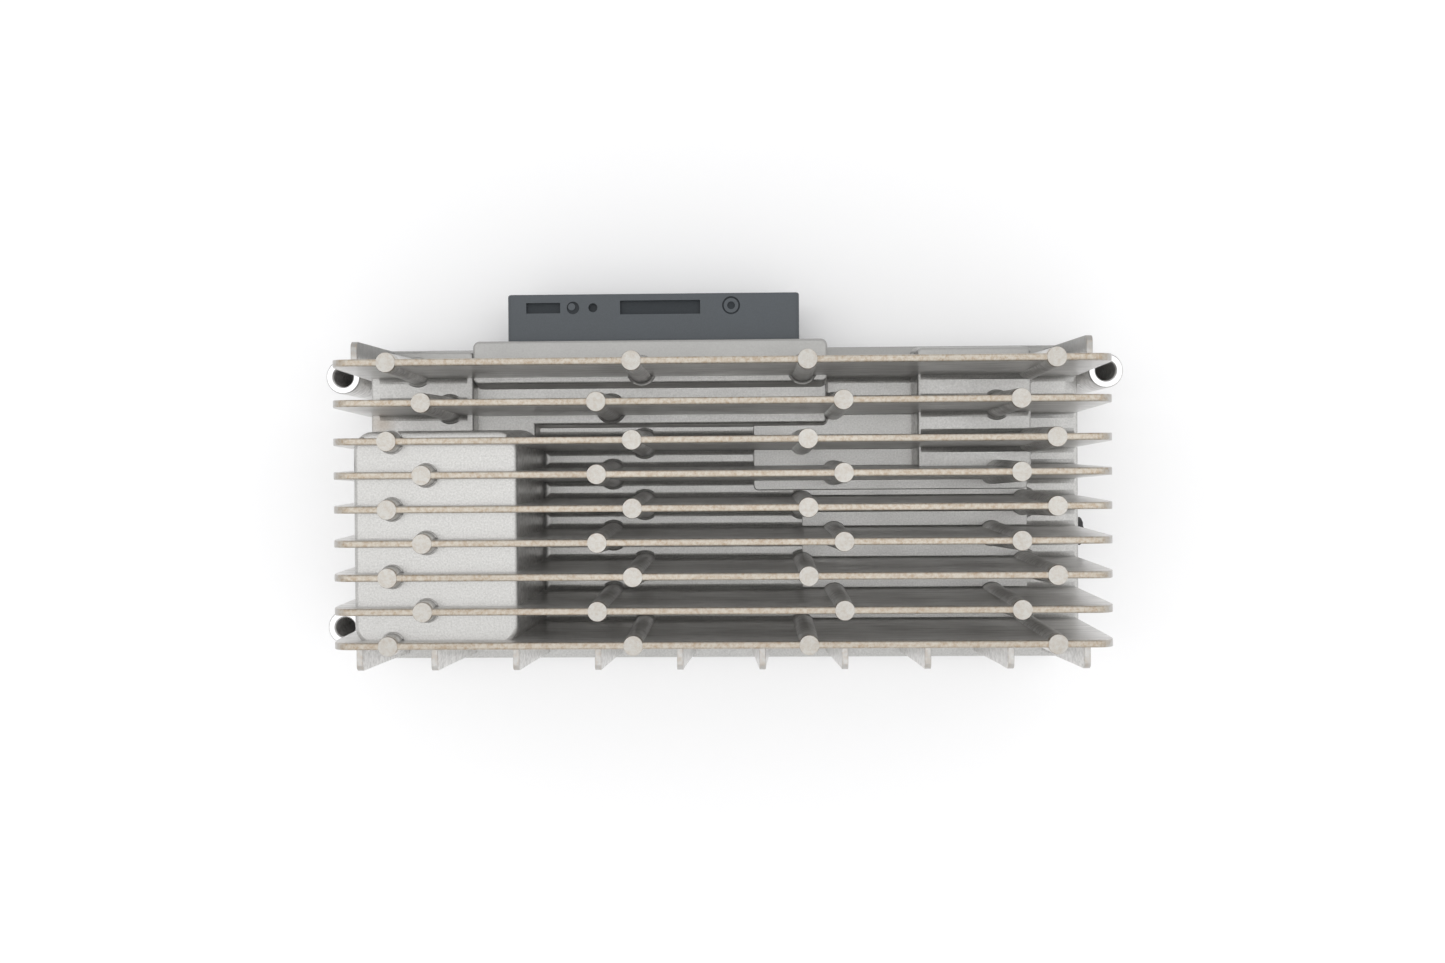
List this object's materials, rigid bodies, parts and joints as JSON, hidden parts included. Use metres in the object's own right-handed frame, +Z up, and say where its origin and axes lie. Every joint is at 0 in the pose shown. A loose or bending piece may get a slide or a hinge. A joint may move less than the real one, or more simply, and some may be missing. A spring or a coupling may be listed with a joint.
{
  "type": "micro inverter",
  "caption": "Sealed DC-AC inverter module with a die-cast housing of tall parallel fins, a multi-way header at the rear and bolt tubes at its corners.",
  "frame": {"origin": "under the middle of the fin field, on the outer face of the cover on which the module stands", "axes": "+Z up through the fins, +Y towards the cable header, +X along the fins, away from the tower"},
  "size_m": [0.2644, 0.1233, 0.072],
  "materials": {
    "cast_aluminium": "as cast, fine grain, brown oxide stains at the fin tips",
    "cover_aluminium": "rolled sheet, satin",
    "black_rubber": "matt",
    "zinc_plated_steel": "zinc plated",
    "black_plastic": "moulded, fine texture",
    "header_plastic": "glass-filled, bluish dark grey",
    "board_green": "green solder mask",
    "tinned_copper": "tin plated",
    "black_epoxy": "moulded epoxy",
    "thermal_pad_grey": "soft silicone",
    "capacitor_sleeve": "shrunk sleeve over an aluminium can",
    "film_box": "moulded box",
    "ferrite": "sintered, matt",
    "bobbin_plastic": "moulded",
    "enamelled_copper": "enamelled wire",
    "yellow_tape": "polyester tape",
    "fuse_glass": "clear",
    "shunt_alloy": "bare strip"
  },
  "bodies": {
    "root": {"heat_sink_housing": "cast_aluminium", "bottom_cover": "cover_aluminium", "cover_gasket": "black_rubber", "cover_screw_1": "zinc_plated_steel", "cover_screw_2": "zinc_plated_steel", "cover_screw_3": "zinc_plated_steel", "cover_screw_4": "zinc_plated_steel", "cover_screw_5": "zinc_plated_steel", "cover_screw_6": "zinc_plated_steel", "cover_screw_7": "zinc_plated_steel", "cover_screw_8": "zinc_plated_steel", "vent_plug": "black_plastic", "vent_seal": "black_rubber", "main_board": "board_green", "board_screw_1": "zinc_plated_steel", "board_screw_2": "zinc_plated_steel", "board_screw_3": "zinc_plated_steel", "board_screw_4": "zinc_plated_steel", "board_screw_5": "zinc_plated_steel", "board_screw_6": "zinc_plated_steel", "connector_header": "header_plastic", "header_seal": "black_rubber", "header_screw_1": "zinc_plated_steel", "header_screw_2": "zinc_plated_steel", "signal_terminals": "tinned_copper", "power_terminals": "tinned_copper", "input_transistor_1": "black_epoxy", "input_transistor_2": "black_epoxy", "input_transistor_3": "black_epoxy", "output_transistor_1": "black_epoxy", "output_transistor_2": "black_epoxy", "output_transistor_3": "black_epoxy", "input_thermal_pad": "thermal_pad_grey", "output_thermal_pad": "thermal_pad_grey", "bus_capacitor_1": "capacitor_sleeve", "bus_capacitor_2": "capacitor_sleeve", "bus_capacitor_3": "capacitor_sleeve", "input_capacitor_1": "capacitor_sleeve", "input_capacitor_2": "capacitor_sleeve", "input_capacitor_3": "capacitor_sleeve", "interference_capacitor": "film_box", "transformer_core_lower": "ferrite", "transformer_core_upper": "ferrite", "transformer_bobbin": "bobbin_plastic", "primary_winding": "enamelled_copper", "secondary_winding": "yellow_tape", "filter_choke_core": "ferrite", "filter_choke_line_winding": "enamelled_copper", "filter_choke_neutral_winding": "enamelled_copper", "output_choke_core": "ferrite", "output_choke_winding": "enamelled_copper", "control_chip": "black_epoxy", "gate_driver_1": "black_epoxy", "gate_driver_2": "black_epoxy", "output_fuse": "fuse_glass", "fuse_clip_1": "tinned_copper", "fuse_clip_2": "tinned_copper", "current_shunt": "shunt_alloy"}
  },
  "joints": []
}
